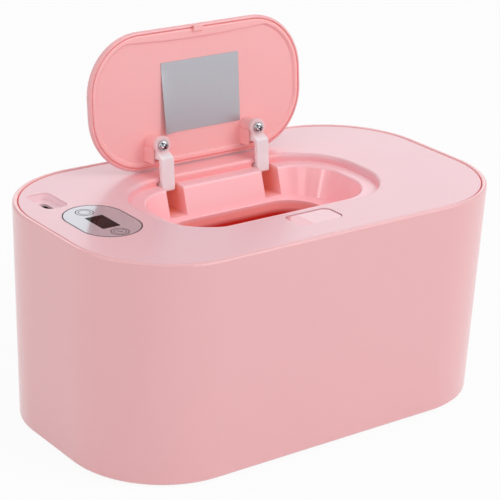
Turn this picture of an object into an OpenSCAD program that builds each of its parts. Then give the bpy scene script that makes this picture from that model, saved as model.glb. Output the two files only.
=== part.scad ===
// Baby wipe warmer: a tub for wet wipes with a heated pull-off cover, a sprung hinged lid,
// a push-button latch, an oval touch panel with a display and an upright power socket.
// Millimetres, Z up, feet on z = 0, X along the long side, panel at -X, latch at -Y.
// The lid is drawn standing open.

/* [Body] */
// Overall length at the rim
body_l = 224; // [222:1:232]
// Overall width at the rim
body_w = 133.4; // [132:0.2:138]
// Height of the shell from its lower edge to its rim
body_h = 105.3; // [100:0.1:115]
// Plan corner radius at the rim
corner_r = 49; // [48.5:0.5:49.5]
// How far each side leans in towards the bottom
side_draft = 2.7; // [1.5:0.1:3]
// Wall thickness of the shell
shell_t = 2.4; // [2.3:0.1:2.6]
// How far the rubber feet stand below the shell
foot_proud = 1.2; // [1:0.1:2]
// Diameter of a rubber foot
foot_d = 14; // [10:1:18]

/* [Cover] */
// How far the cover's top lies below the shell's rim
cover_drop = 0.3; // [0.2:0.1:1]
// Gap between the cover's edge and the shell
cover_gap = 0.3; // [0.3:0.05:0.6]
// Thickness of the cover's skin
skin_t = 2.2; // [2:0.1:2.4]
// Depth of the cover's skirt below the top
skirt_h = 10; // [9.8:0.1:10.4]
// Depth of the bowl floor below the cover's top
bowl_h = 17.6; // [17:0.1:18.4]
// Depth of the pan below the cover's top, where the bowl's foot rests on it
pan_drop = 21.8; // [21.4:0.1:22.4]
// Angle that the bowl wall leans in
bowl_lean = 19; // [17:0.5:21]
// Width of the raised ledge and the channel outside it, round the bowl
ledge_w = 8.2; // [7.8:0.1:8.4]
// Depth of the ledge below the cover's top
ledge_h = 3.4; // [3.3:0.05:3.6]
// Length of the dispensing opening
mouth_l = 84; // [78:1:86]
// Width of the dispensing opening
mouth_w = 38.6; // [36.6:0.2:39]

/* [Lid] */
// Length of the lid
lid_l = 122.4; // [120:0.2:123]
// Width of the lid
lid_w = 66.4; // [66:0.2:67]
// Plan corner radius of the lid
lid_r = 28.6; // [28:0.2:29]
// Thickness of the lid
lid_t = 3.8; // [3.6:0.1:4]
// Gap round the closed lid
lid_gap = 0.8; // [0.8:0.1:1]
// Angle that the lid opens to
open_angle = 96.4; // [80:0.2:97]
// Distance of the liner from the lid's edge, all round
liner_inset = 1.8; // [1.7:0.05:2]
// Width of the raised rim round the liner's face
rim_w = 2.8; // [2.4:0.1:3]
// Depth of the liner's face below that rim
face_h = 1.1; // [0.6:0.1:1.2]
// Distance of each hinge arm from the middle
arm_x = 27.7; // [26:0.1:29]
// Width of a hinge arm
arm_w = 6.8; // [6.6:0.1:7.2]

/* [Panel and port] */
// Length of the oval panel, across the tub
panel_l = 41.2; // [38:0.2:42]
// Width of the oval panel
panel_w = 28.6; // [28:0.2:29]
// Length of the display window
window_l = 15.5; // [14:0.5:16]
// Width of the display window
window_w = 9.3; // [8.9:0.1:9.5]
// Length of the port pocket
port_l = 20.1; // [19:0.1:20.5]
// Width of the port pocket
port_w = 12; // [11:0.1:12.4]
// Depth of the port pocket
port_h = 3.4; // [3:0.1:3.6]

/* [Latch] */
// Length of the latch button
button_l = 24.8; // [23:0.2:25]
// Width of the latch button
button_w = 13.2; // [12.8:0.1:13.4]
// How far the button's top lies below the cover's
button_drop = 0.4; // [0:0.1:0.5]
// Travel of the button
press_h = 1.4; // [1.2:0.1:1.5]
// Travel of the slider that the button wedges forward
slide_h = 1.2; // [1.1:0.05:1.2]
// Length of the latch spring with the button down
spring_l = 4.7; // [4.4:0.1:5]

/* [Hidden] */
$fn = 48;
// Fits
slip = 0.05;       // shaft in its hole, all round
part_gap = 0.25;   // inlaid piece in its seat
button_gap = 0.4;  // button in its hole
// Plan and heights
sx = body_l - 2 * corner_r;
sy = body_w - 2 * corner_r;
rim_z = foot_proud + body_h;
top_z = rim_z - cover_drop;
lip_r = 1;
lip_h = 3;
in_p = corner_r - shell_t;
foot_p = corner_r - side_draft;
edge_p = in_p - cover_gap;
skirt_t = 2;
edge_r = 0.5;
seal_t = 1.5;
flange_t = 1.6;
tank_t = 1.6;
skirt_z = top_z - skirt_h;
flange_z = skirt_z - seal_t;
rib_z = flange_z - flange_t;
rib_w = 2.2;
tank_p = 42;
tank_z = foot_proud + 6;
tank_low = 39.5;
plate_t = 2;
plate_z = foot_proud + 0.4;
ring_t = 2;
ring_z = plate_z + plate_t;
// Lid, recess and bowl
lx = lid_l - 2 * lid_r;
ly = lid_w - 2 * lid_r;
rear_y = lid_w / 2;
seat_p = lid_r + lid_gap;
seat_h = 4.2;
seat_round = 1.5;
channel_w = 1.2;
wall_t = 1.8;
ledge_p = seat_p - ledge_w;
ledge_z = top_z - ledge_h;
ledge_r = 1.4;
ledge_c = [ledge_p + ledge_r, ledge_z - ledge_r];
brink = ledge_c + ledge_r * [-cos(bowl_lean), sin(bowl_lean)];
floor_z = top_z - bowl_h;
floor_p = brink[0] - tan(bowl_lean) * (brink[1] - floor_z);
mouth_r = 18;
lid_z = top_z - 2.6;
round_in = 1.3;
round_out = 2.3;
groove = 0.4;
liner_d = 2.1;
liner_proud = 0.3;
liner_p = lid_r - liner_inset;
face_p = liner_p - rim_w;
face_z = lid_z - liner_proud + face_h;
// Hinge
pin_v = 6.8;
pin_d = 3.3;
pin_r = 1.25;
pin_y = rear_y + pin_v;
pin_z = lid_z - pin_d;
eye_r = 3;
slot_w = arm_w + 2.9;
slot_y = pin_y + eye_r + 0.8;
slot_z = top_z - 16.2;
box_w = slot_w + 2 * wall_t;
boss_w = slot_w - 0.9;
boss_v = 13.4;
boss_r = 3.9;
boss_h = 7;
guide_t = 0.8;
guide_l = 7.7;
tab_t = 2;
screw_r = 1.45;
head_r = 2.65;
coil_r = 2.6;
wire_r = 0.4;
// Pan and heater
pan_z = top_z - 8;
pan_p = 39;
pan_t = 1.6;
pan_deck = top_z - pan_drop;
pan_low = pan_deck - 4.9;
felt_t = 1.6;
film_t = 0.3;
heat_t = 1.2;
heat_l = 170;
heat_w = 92;
heat_r = 30;
collar_z = pan_deck - pan_t - felt_t - film_t - heat_t - 0.6;
bolt_p = 41;
bolt_c = bolt_p / sqrt(2);
bolt_x = 32;
// Electronics
panel_x = -(body_l / 2 - 27.7);
panel_y = -0.2;
panel_t = 1;
board_z = top_z - 12.3;
board_t = 1.6;
board_top = board_z + board_t;
board_p = pan_p - pan_t - 0.6;
port_x = -(body_l / 2 - 19.9);
port_y = body_w / 2 - 32.9;
port_r = 3.5;
port_t = 1.4;
jack_w = 3.3;
jack_l = 9.2;
hole_w = 4.6;
hole_l = 11.4;
post_r = 3;
// Latch
button_y = -(rear_y + 10.8);
button_r = 3.5;
cap_t = 3;
plate_top = top_z - 6.4;
slider_t = 1.4;
spring_z = top_z - 5.7;
slider_w = 13;
lug_w = 5;
nose_w = 8;
nose_t = 0.8;
nose_reach = 2;
front_y = -(ly / 2 + seat_p);
skirt_y = -(sy / 2 + edge_p - skirt_t);
slider_y = skirt_y + spring_l + slide_h + 0.1;
rail_l = front_y - wall_t - 2.2 - (slider_y + 1);

pink = [0.95, 0.76, 0.79];
lid_pink = [0.96, 0.72, 0.73];
silver = [0.78, 0.79, 0.81];
steel = [0.72, 0.73, 0.75];
white = [0.93, 0.93, 0.92];
dark = [0.12, 0.12, 0.14];

posts = [[panel_x + 12.3, -(sy / 2 + 2.2)], [panel_x - 10.7, -(sy / 2 + 2.2)],
    [panel_x + 12.3, sy / 2 + 18.8], [panel_x - 10.7, sy / 2 + 0.8]];
fuse_at = [sx / 2 + 4.5, -(sy / 2 + 3.8)];
bead_at = [-(sx / 2 + 6.5), sy / 2 + 11.8];
lead_at = [panel_x + 6, -(sy / 2 + 16)];
feet = [for (a = [-1, 1], b = [-1, 1]) [a * (sx / 2 + 14.5), b * (sy / 2 + 19.8)]];
base_bolts = [for (a = [-1, 1], b = [-1, 1]) [a * (sx / 2 + 27), b * (sy / 2 + 27)]];
pan_bolts = concat(
    [for (a = [-1, 1], b = [-1, 1]) [a * (sx / 2 + bolt_c), b * (sy / 2 + bolt_c)]],
    [for (a = [-1, 1], b = [-1, 1]) [a * bolt_x, b * (sy / 2 + bolt_p)]]);

// ---- helpers ----

// Plan rectangle with round corners, centred
module round_rect(l, w, r) {
    square([l - 2 * r, w], center = true);
    square([l, w - 2 * r], center = true);
    for (a = [-1, 1], b = [-1, 1])
        translate([a * (l / 2 - r), b * (w / 2 - r)]) circle(r);
}

// Flat slab with that outline, from height z up
module slab(l, w, r, z, h) {
    translate([0, 0, z]) linear_extrude(h) round_rect(l, w, r);
}

// Runs a profile round four corners; profile x is the distance out from the corner centres
module sweep(l, w) {
    for (q = [0:3])
        translate([(q == 0 || q == 3 ? 1 : -1) * l / 2, (q < 2 ? 1 : -1) * w / 2, 0])
            rotate(90 * q) rotate_extrude(angle = 90) children();
    translate([l / 2, w / 2, 0]) rotate([90, 0, 0]) linear_extrude(w) children();
    translate([-l / 2, w / 2, 0]) rotate([0, 0, 90]) rotate([90, 0, 0])
        linear_extrude(l) children();
    translate([-l / 2, -w / 2, 0]) rotate([0, 0, 180]) rotate([90, 0, 0])
        linear_extrude(w) children();
    translate([l / 2, -w / 2, 0]) rotate([0, 0, 270]) rotate([90, 0, 0])
        linear_extrude(l) children();
}

// Middle block that closes a sweep whose profile starts at its centre line
module middle(l, w, z, h) {
    translate([-l / 2, -w / 2, z]) cube([l, w, h]);
}

// Upright cylinder
module post(x, y, z, h, r) {
    translate([x, y, z]) cylinder(h = h, r = r);
}

// Side view (y, z) drawn in 2D, spread over a width in x about the middle
module side_view(w) {
    rotate([90, 0, 90]) linear_extrude(w, center = true) children();
}

// Cylinder along X from x0 to x1
module axle(x0, x1, y, z, r) {
    translate([x0, y, z]) rotate([0, 90, 0]) cylinder(h = x1 - x0, r = r);
}

// Swings the lid's pieces from closed to open about the hinge pins
module lid_open() {
    translate([0, pin_y, pin_z]) rotate([-open_angle, 0, 0])
        translate([0, -pin_y, -pin_z]) children();
}

// Close-wound coil drawn as touching rings
module coil(r, wire, n, pitch) {
    rotate_extrude() for (i = [0:n - 1]) translate([r, wire + i * pitch]) circle(wire, $fn = 24);
}

// Round wire between two points, ends rounded
module wire(a, b, r) {
    v = b - a;
    len = norm(v);
    translate(a) rotate([0, acos(v[2] / len), atan2(v[1], v[0])]) cylinder(h = len, r = r);
    translate(a) sphere(r * 1.15, $fn = 24);
    translate(b) sphere(r * 1.15, $fn = 24);
}

// Wire through a list of points
module lead(pts, r) {
    for (i = [0:len(pts) - 2]) wire(pts[i], pts[i + 1], r);
}

// ---- tub ----

// Leaning wall with a rounded lip, a ledge for the tank and a ring for the base plate
module shell_profile() {
    polygon([[foot_p - shell_t, foot_proud], [foot_p - 0.8, foot_proud],
        [foot_p, foot_proud + 0.8], [corner_r, rim_z - lip_h], [corner_r, rim_z - lip_r],
        [in_p, rim_z - lip_r], [in_p, rim_z - 16]]);
    translate([in_p + lip_r, rim_z - lip_r]) circle(lip_r);
    translate([corner_r - lip_r, rim_z - lip_r]) circle(lip_r);
    translate([in_p + lip_r, rim_z - lip_r]) square([shell_t - 2 * lip_r, lip_r]);
    polygon([[in_p - rib_w, rib_z], [in_p + 1, rib_z], [in_p + 1, rib_z - 5.6],
        [in_p, rib_z - 5.6], [in_p - rib_w, rib_z - 2.5]]);
    translate([foot_p - 11, ring_z]) square([9.5, ring_t]);
}

module body_shell() {
    color(pink) difference() {
        union() {
            sweep(sx, sy) shell_profile();
            for (p = base_bolts) post(p[0], p[1], ring_z, ring_t + 1.4, 3);
        }
        for (p = base_bolts) post(p[0], p[1], ring_z - 1, ring_t + 3, screw_r + slip);
    }
}

module inner_tank() {
    color(pink) union() {
        sweep(sx, sy) polygon([[0, tank_z], [tank_low - 1.5, tank_z], [tank_low, tank_z + 1.5],
            [tank_p, rib_z], [edge_p, rib_z], [edge_p, flange_z], [tank_p - tank_t, flange_z],
            [tank_low - tank_t, tank_z + tank_t + 1.5],
            [tank_low - tank_t - 1.5, tank_z + tank_t], [0, tank_z + tank_t]]);
        middle(sx, sy, tank_z, tank_t);
    }
}

module tank_foam() {
    z0 = ring_z + ring_t + 0.4;
    z1 = rib_z - 6;
    color([0.9, 0.9, 0.88]) difference() {
        sweep(sx, sy) polygon([[tank_low + 0.5, z0], [foot_p - shell_t - 0.3, z0],
            [in_p - 0.6, z1], [tank_p + 0.4, z1]]);
        for (p = base_bolts) post(p[0], p[1], z0 - 1, 2.4, 3.4);
    }
}

module base_plate() {
    p = foot_p - shell_t - 0.5;
    color([0.93, 0.74, 0.77]) difference() {
        slab(sx + 2 * p, sy + 2 * p, p, plate_z, plate_t);
        for (f = feet) post(f[0], f[1], plate_z - 1, 1.6, foot_d / 2 + 0.3);
        for (b = base_bolts) {
            post(b[0], b[1], plate_z - 1, plate_t + 2, screw_r + slip);
            post(b[0], b[1], plate_z - 1, 2.2, 2.9);
        }
    }
}

module rubber_feet() {
    color([0.85, 0.84, 0.83]) for (f = feet) translate([f[0], f[1], 0]) rotate_extrude() union() {
        square([foot_d / 2, plate_z + 0.6 - 0.6]);
        square([foot_d / 2 - 0.6, plate_z + 0.6]);
    }
}

module base_screws() {
    color(steel) for (b = base_bolts) difference() {
        union() {
            post(b[0], b[1], plate_z + 0.1, 1.1, 2.7);
            post(b[0], b[1], plate_z + 0.1, 5, screw_r);
        }
        for (a = [0, 90]) translate([b[0], b[1], plate_z]) rotate(a)
            cube([3, 0.6, 1.2], center = true);
    }
}

module cover_seal() {
    color([0.82, 0.82, 0.82]) sweep(sx, sy)
        translate([edge_p - 2.7, flange_z]) square([2.6, seal_t]);
}

// ---- cover ----

// Space for the lid: rounded rim, channel, broad ledge, leaning bowl wall
module bowl_void() {
    sweep(lx, ly) difference() {
        polygon([[0, top_z + 1], [seat_p + seat_round, top_z + 1],
            [seat_p + seat_round, top_z - seat_round], [seat_p, top_z - seat_round],
            [seat_p, top_z - seat_h], [seat_p - channel_w, top_z - seat_h],
            [seat_p - channel_w, ledge_z], [ledge_c[0], ledge_z], ledge_c, brink,
            [floor_p, floor_z], [0, floor_z]]);
        translate([seat_p + seat_round, top_z - seat_round]) circle(seat_round);
        translate(ledge_c) circle(ledge_r);
    }
    middle(lx, ly, floor_z, bowl_h + 1);
}

// Place of the port pocket's outline
module port_place() {
    translate([port_x, port_y, 0]) children();
}

// Oval outline of the panel, larger by a gap
module panel_outline(g) {
    r = panel_w / 2 + g;
    translate([panel_x, panel_y]) {
        square([2 * r, panel_l - panel_w], center = true);
        for (b = [-1, 1]) translate([0, b * (panel_l - panel_w) / 2]) circle(r);
    }
}

// Rail that carries one side of the latch slider, with the seat of a button spring
module slider_rail(s) {
    side_x = s * (slider_w / 2 + 0.25);
    x0 = s > 0 ? side_x : side_x - wall_t;
    translate([x0, slider_y + 1, top_z - 9.8]) cube([wall_t, rail_l, 9.8 - skin_t + 0.5]);
    x1 = s > 0 ? slider_w / 2 - 1.5 : -slider_w / 2 - wall_t;
    translate([x1, slider_y + 1, top_z - 9.8]) cube([1.5 + wall_t, rail_l, 1.6]);
    x2 = s > 0 ? slider_w / 2 : -slider_w / 2 - 6;
    translate([x2, button_y - 2.2, top_z - 9.8]) cube([6, 4.4, 1.6]);
}

module top_cover() {
    color(pink) difference() {
        union() {
            difference() {
                union() {
                    sweep(sx, sy) {
                        polygon([[0, top_z - skin_t], [edge_p - skirt_t, top_z - skin_t],
                            [edge_p - skirt_t, skirt_z], [edge_p, skirt_z],
                            [edge_p, top_z - edge_r], [edge_p - edge_r, top_z - edge_r],
                            [edge_p - edge_r, top_z], [0, top_z]]);
                        translate([edge_p - edge_r, top_z - edge_r]) circle(edge_r);
                    }
                    middle(sx, sy, top_z - skin_t, skin_t);
                    sweep(lx, ly) polygon([[0, top_z - 1], [seat_p + wall_t, top_z - 1],
                        [seat_p + wall_t, top_z - seat_h - wall_t],
                        [ledge_p + wall_t + 0.4, top_z - seat_h - wall_t],
                        [floor_p + wall_t + 0.3, floor_z - wall_t],
                        [floor_p + wall_t + 0.3, pan_deck], [0, pan_deck]]);
                    middle(lx, ly, pan_deck, bowl_h);
                    for (s = [-1, 1])
                        translate([s * arm_x - box_w / 2, 14, slot_z - wall_t])
                            cube([box_w, slot_y + wall_t - 14, top_z - 1 - slot_z + wall_t]);
                    port_place() slab(port_w + 2 * port_t, port_l + 2 * port_t,
                        port_r + port_t, top_z - port_h - port_t, port_h + port_t - 0.5);
                }
                bowl_void();
                slab(mouth_l, mouth_w, mouth_r, pan_deck - 1, 6);
                for (s = [-1, 1]) {
                    translate([s * arm_x - slot_w / 2, 10, slot_z])
                        cube([slot_w, slot_y - 10, top_z - skin_t - slot_z]);
                    axle(s * arm_x - box_w, s * arm_x + box_w, pin_y, pin_z, pin_r + slip);
                }
            }
            for (b = pan_bolts) post(b[0], b[1], pan_z, top_z - 1 - pan_z, 3.4);
            for (b = posts) post(b[0], b[1], board_top, top_z - 2 - board_top, post_r);
            for (s = [-1, 1]) slider_rail(s);
        }
        port_place() {
            slab(port_w, port_l, port_r, top_z - port_h, port_h + 1);
            slab(hole_w, hole_l, hole_w / 2 - 0.01, top_z - port_h - 3, 4);
        }
        translate([0, 0, top_z - panel_t]) linear_extrude(panel_t + 1)
            panel_outline(part_gap);
        translate([panel_x - 0.5, panel_y - 1.2, 0])
            slab(window_w - 1, window_l - 1, 0.6, top_z - 4, 4);
        for (b = pan_bolts) post(b[0], b[1], pan_z - 1, 5, 1.25 + slip);
        for (b = posts) post(b[0], b[1], board_top - 1, 7, 1.1 + slip);
        translate([0, button_y, 0])
            slab(button_l + 2 * button_gap, button_w + 2 * button_gap, button_r + button_gap,
                top_z - 5, 6);
        // room for the button's flange between the rails
        translate([-button_l / 2 - 2, button_y - button_w / 2 - 2.2, top_z - 5])
            cube([button_l + 4, button_w + 2.8, 5 - skin_t]);
        // window for the latch nose, well in the ledge for the nose and the lid's lug
        translate([-nose_w / 2 - 0.5, front_y - wall_t - 0.4, lid_z - nose_t - 0.35])
            cube([nose_w + 1, wall_t + 1, nose_t + 0.55]);
        translate([-nose_w / 2 - 0.5, front_y, top_z - seat_h - 0.6])
            cube([nose_w + 1, 5.2, 3]);
    }
}

module control_panel() {
    color(silver) difference() {
        translate([0, 0, top_z - panel_t]) linear_extrude(panel_t) panel_outline(0);
        translate([panel_x - 0.5, panel_y - 1.2, 0])
            slab(window_w, window_l, 0.8, top_z - 3, 4);
    }
}

module display_lens() {
    color(dark) translate([panel_x - 0.5, panel_y - 1.2, 0])
        slab(window_w - 0.1, window_l - 0.1, 0.75, top_z - panel_t, panel_t - 0.1);
}

module control_board() {
    color([0.15, 0.42, 0.25]) difference() {
        intersection() {
            slab(sx + 2 * board_p, sy + 2 * board_p, board_p, board_z, board_t);
            translate([panel_x - 13.7, -(sy / 2 + 6.2), board_z - 1])
                cube([31, sy + 29, board_t + 2]);
        }
        for (b = posts) post(b[0], b[1], board_z - 1, board_t + 2, 1.1 + slip);
    }
}

module display_module() {
    color([0.9, 0.9, 0.88]) translate([panel_x - 0.5, panel_y - 1.2, 0])
        slab(window_w + 1.6, window_l + 3, 0.5, board_top, top_z - skin_t - 0.2 - board_top);
}

module touch_springs() {
    h = top_z - skin_t - board_top;
    n = ceil(h / 0.57);
    color(steel) for (t = [[-1.3, panel_l / 2 - 7.8], [-0.3, 5.5 - panel_l / 2]])
        translate([panel_x + t[0], panel_y + t[1], board_top])
            coil(3, 0.3, n, (h - 0.6) / (n - 1));
}

module board_screws() {
    color(steel) for (b = posts) {
        post(b[0], b[1], board_z - 1.4, 1.4, 2.1);
        post(b[0], b[1], board_z - 0.5, 6.5, 1.1);
    }
}

module power_socket() {
    z1 = top_z - port_h - 0.8;
    color(steel) port_place() {
        difference() {
            slab(jack_w, jack_l, jack_w / 2 - 0.01, board_top, z1 - board_top);
            slab(jack_w - 0.7, jack_l - 0.7, jack_w / 2 - 0.36, board_top + 1.2, 9);
        }
        slab(0.8, 6.6, 0.3, board_top + 1, z1 - board_top - 1.8);
    }
}

module cover_pan() {
    color(pink) difference() {
        union() {
            sweep(sx, sy) polygon([[0, pan_deck - pan_t], [pan_p - pan_t, pan_deck - pan_t],
                [pan_p - pan_t, pan_low], [pan_p, pan_low], [pan_p, pan_z - pan_t],
                [pan_p + 4.2, pan_z - pan_t], [pan_p + 4.2, pan_z], [pan_p - pan_t, pan_z],
                [pan_p - pan_t, pan_deck], [0, pan_deck]]);
            middle(sx, sy, pan_deck - pan_t, pan_t);
            slab(mouth_l + 3.4, mouth_w + 3.4, mouth_r + 1.7, collar_z, pan_deck - collar_z);
        }
        slab(mouth_l + 0.4, mouth_w + 0.4, mouth_r + 0.2, collar_z - 1, bowl_h);
        for (b = pan_bolts) post(b[0], b[1], pan_z - 3, 4, 1.25 + slip);
        post(lead_at[0], lead_at[1], pan_deck - 3, 4, 2.2);
    }
}

module pan_screws() {
    color(steel) for (b = pan_bolts) {
        post(b[0], b[1], pan_z - pan_t - 1.3, 1.3, 1.9);
        post(b[0], b[1], pan_z - pan_t - 1, 5, 1.25);
    }
}

// Layer of the heater, open in the middle for the wipes
module heater_layer(z, h, cut) {
    difference() {
        slab(heat_l, heat_w, heat_r, z, h);
        slab(mouth_l + 4, mouth_w + 4, mouth_r + 2, z - 1, h + 2);
        if (cut) post(lead_at[0], lead_at[1], z - 1, h + 2, 2.2);
    }
}

module heater_insulation() {
    color([0.88, 0.86, 0.8]) heater_layer(pan_deck - pan_t - felt_t, felt_t, true);
}

module heating_film() {
    color([0.75, 0.45, 0.2]) heater_layer(pan_deck - pan_t - felt_t - film_t, film_t, false);
}

module heater_plate() {
    color(silver) heater_layer(pan_deck - pan_t - felt_t - film_t - heat_t, heat_t, false);
}

module thermal_fuse() {
    color([0.8, 0.78, 0.7]) {
        translate([fuse_at[0], fuse_at[1], pan_deck + 2.1]) rotate([0, 90, 0])
            cylinder(h = 12, r = 2.1);
        translate([fuse_at[0] + 3, fuse_at[1] - 3, pan_deck]) cube([6, 6, 2.1]);
    }
}

module thermistor() {
    color(dark) {
        translate([bead_at[0], bead_at[1], pan_deck + 1.2]) rotate([0, 90, 0])
            cylinder(h = 5, r = 1.2);
        translate([bead_at[0], bead_at[1] - 1.2, pan_deck]) cube([5, 2.4, 1.2]);
    }
}

module heater_leads() {
    z = pan_deck + 0.8;
    x = lead_at[0] + 2;
    color([0.75, 0.2, 0.18]) for (k = [-1, 1]) {
        post(x + k, 1 - sy / 2, board_z - 1, 1, 0.7);
        lead([[x + k, 1 - sy / 2, board_z - 1], [x + k, -(sy / 2 + 6), z + 3],
            [lead_at[0] + k, lead_at[1], z],
            [lead_at[0] + k, lead_at[1], pan_deck - pan_t - felt_t + 0.9]], 0.7);
    }
}

module sensor_leads() {
    z = pan_deck + 0.8;
    y = lead_at[1] - 6;
    color(dark) {
        post(panel_x + 9, bead_at[1] - 2, board_z - 1, 1, 0.6);
        lead([[panel_x + 9, bead_at[1] - 2, board_z - 1], [panel_x + 9, bead_at[1] - 2, z + 2],
            [bead_at[0] - 0.8, bead_at[1], pan_deck + 1.2]], 0.6);
        post(panel_x + 14, 6 - sy / 2, board_z - 1, 1, 0.7);
        lead([[panel_x + 14, 6 - sy / 2, board_z - 1], [panel_x + 14, -(sy / 2 + 4), z],
            [panel_x + 20, y, z], [fuse_at[0] - 8, y, z],
            [fuse_at[0] - 1, fuse_at[1], pan_deck + 2.1]], 0.7);
    }
}

// ---- hinge ----

// Both sides of the hinge; drawn for the left arm, +x towards the middle
module both_arms() {
    translate([-arm_x, 0, 0]) children();
    mirror([1, 0, 0]) translate([-arm_x, 0, 0]) children();
}

module pivot_pins() {
    color(steel) both_arms() {
        axle(-box_w / 2 - 0.1, box_w / 2 + 1.6, pin_y, pin_z, pin_r);
        axle(-box_w / 2 - 1.3, -box_w / 2, pin_y, pin_z, 2.3);
    }
}

module pin_clips() {
    color(dark) both_arms() difference() {
        axle(box_w / 2, box_w / 2 + 0.8, pin_y, pin_z, 2.9);
        axle(box_w / 2 - 1, box_w / 2 + 2, pin_y, pin_z, pin_r + 0.02);
        translate([box_w / 2 - 1, pin_y - 0.9, pin_z - 4]) cube([3, 1.8, 4]);
    }
}

// Torsion spring on the pin, its tail on the back wall of the slot
module lid_spring() {
    translate([arm_w / 2 - 2.2, pin_y, pin_z]) rotate([0, 90, 0]) coil(coil_r, wire_r, 4, 0.78);
    translate([arm_w / 2 - 1, pin_y + coil_r, pin_z - 7]) cylinder(h = 7, r = wire_r);
    translate([arm_w / 2 - 1, pin_y + coil_r, pin_z - 7]) rotate([-90, 0, 0])
        cylinder(h = slot_y - pin_y - coil_r, r = wire_r);
}

module lid_spring_left() {
    color(steel) translate([-arm_x, 0, 0]) lid_spring();
}

module lid_spring_right() {
    color(steel) mirror([1, 0, 0]) translate([-arm_x, 0, 0]) lid_spring();
}

// Points of the closed arm: v forward from the lid's rear edge, d down from its rim plane
function vd(v, d) = [rear_y - v, lid_z - d];

module hinge_arm() {
    lid_open() translate([-arm_x, 0, 0]) difference() {
        union() {
            side_view(arm_w) union() {
                polygon([vd(boss_v, 7), vd(7, 7), vd(7, 10.3), vd(-4.2, 10.3), vd(-3.8, pin_d),
                    vd(-9.8, pin_d), vd(-8.2, 12), vd(-7.6, 12.6), vd(7.6, 12.6), vd(10, 9),
                    vd(boss_v, 9)]);
                translate([pin_y, pin_z]) circle(eye_r);
            }
            post(0, rear_y - boss_v, lid_z - boss_h - tab_t, tab_t, boss_r + 0.3);
        }
        axle(-arm_w, arm_w, pin_y, pin_z, pin_r + slip);
        // pocket for the spring's coil, and for its tail with the lid shut
        axle(arm_w / 2 - 2.6, arm_w, pin_y, pin_z, 3.7);
        translate([arm_w / 2 - 2.6, pin_y + coil_r - 1, pin_z - 8]) cube([4, 4, 8]);
        post(0, rear_y - boss_v, lid_z - 20, 20, screw_r + slip);
    }
}

module hinge_arm_left() {
    color([0.93, 0.93, 0.93, 0.8]) hinge_arm();
}

module hinge_arm_right() {
    color([0.93, 0.93, 0.93, 0.8]) mirror([1, 0, 0]) hinge_arm();
}

module arm_screws() {
    z = lid_z - boss_h - tab_t;
    color(steel) lid_open() both_arms() difference() {
        union() {
            post(0, rear_y - boss_v, z - 1.2, 1.2, head_r);
            post(0, rear_y - boss_v, z - 2, 0.9, head_r - 0.7);
            post(0, rear_y - boss_v, z - 1, 7, screw_r);
        }
        for (a = [0, 90]) translate([0, rear_y - boss_v, z - 2]) rotate(a)
            cube([3, 0.6, 1.4], center = true);
    }
}

// ---- lid ----

// Bow in the front edge of the liner's face
module front_bow(y, z, h) {
    translate([0, y + 1.2 - 511, z]) cylinder(h = h, r = 511, $fn = 96);
}

module lid_cover() {
    z1 = lid_z + round_in;
    z2 = lid_z + lid_t - round_out;
    color(lid_pink) lid_open() difference() {
        union() {
            sweep(lx, ly) {
                polygon([[0, lid_z], [lid_r - round_in, lid_z], [lid_r - round_in, z1],
                    [lid_r, z1], [lid_r, z2], [lid_r - round_out, z2],
                    [lid_r - round_out, lid_z + lid_t], [0, lid_z + lid_t]]);
                translate([lid_r - round_in, z1]) circle(round_in);
                intersection() {
                    translate([lid_r - round_out, z2]) circle(round_out);
                    translate([lid_r - round_out - 0.1, z2])
                        square([round_out + 1, round_out + 1]);
                }
            }
            middle(lx, ly, lid_z, lid_t);
        }
        slab(lx + 2 * (liner_p + groove), ly + 2 * (liner_p + groove), liner_p + groove,
            lid_z - 1, liner_d + 1);
    }
}

// Sunk face of the liner: sloping sides, upright and bowed at the front
module liner_face() {
    front = -(ly / 2 + face_p) + 0.2;
    difference() {
        union() {
            sweep(lx, ly) polygon([[0, lid_z - 2], [face_p + 1 + 1.7, lid_z - 2],
                [face_p + 1, lid_z - liner_proud], [face_p, face_z], [0, face_z]]);
            middle(lx, ly, lid_z - 2, face_z - lid_z + 2);
        }
        translate([-lid_l, front - lid_w, lid_z - 3]) cube([2 * lid_l, lid_w, 6]);
        front_bow(front, lid_z - 3, 6);
    }
}

module lid_liner() {
    e = 0.9;
    z0 = lid_z - liner_proud;
    color(lid_pink) lid_open() difference() {
        union() {
            difference() {
                union() {
                    sweep(lx, ly) {
                        polygon([[0, z0], [liner_p - e, z0], [liner_p - e, z0 + e],
                            [liner_p, z0 + e], [liner_p, lid_z + liner_d],
                            [0, lid_z + liner_d]]);
                        translate([liner_p - e, z0 + e]) circle(e);
                    }
                    middle(lx, ly, z0, liner_proud + liner_d);
                }
                liner_face();
            }
            for (s = [-1, 1]) {
                post(s * arm_x, rear_y - boss_v, lid_z - boss_h, boss_h + 1, boss_r);
                for (k = [-1, 1]) {
                    x0 = k > 0 ? arm_w / 2 + 0.2 : -arm_w / 2 - 0.2 - guide_t;
                    translate([s * arm_x + x0, rear_y - boss_v + 1, lid_z - boss_h + 0.1])
                        cube([guide_t, guide_l, boss_h + 0.9]);
                }
            }
            // catch that the latch nose holds
            side_view(lug_w) polygon([[front_y + 4.4, lid_z + 0.9], [front_y + 4.4, lid_z - 1],
                [front_y + 3.8, lid_z - 1.7], [front_y + 1.6, lid_z - 1.7],
                [front_y + 1.2, lid_z - 1.4], [front_y + 1.2, lid_z - 0.95],
                [front_y + 2.7, lid_z - 0.95], [front_y + 2.7, lid_z + 0.9]]);
        }
        for (s = [-1, 1])
            post(s * arm_x, rear_y - boss_v, lid_z - boss_h - 1, 6.5, screw_r + slip);
    }
}

// ---- latch ----

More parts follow.
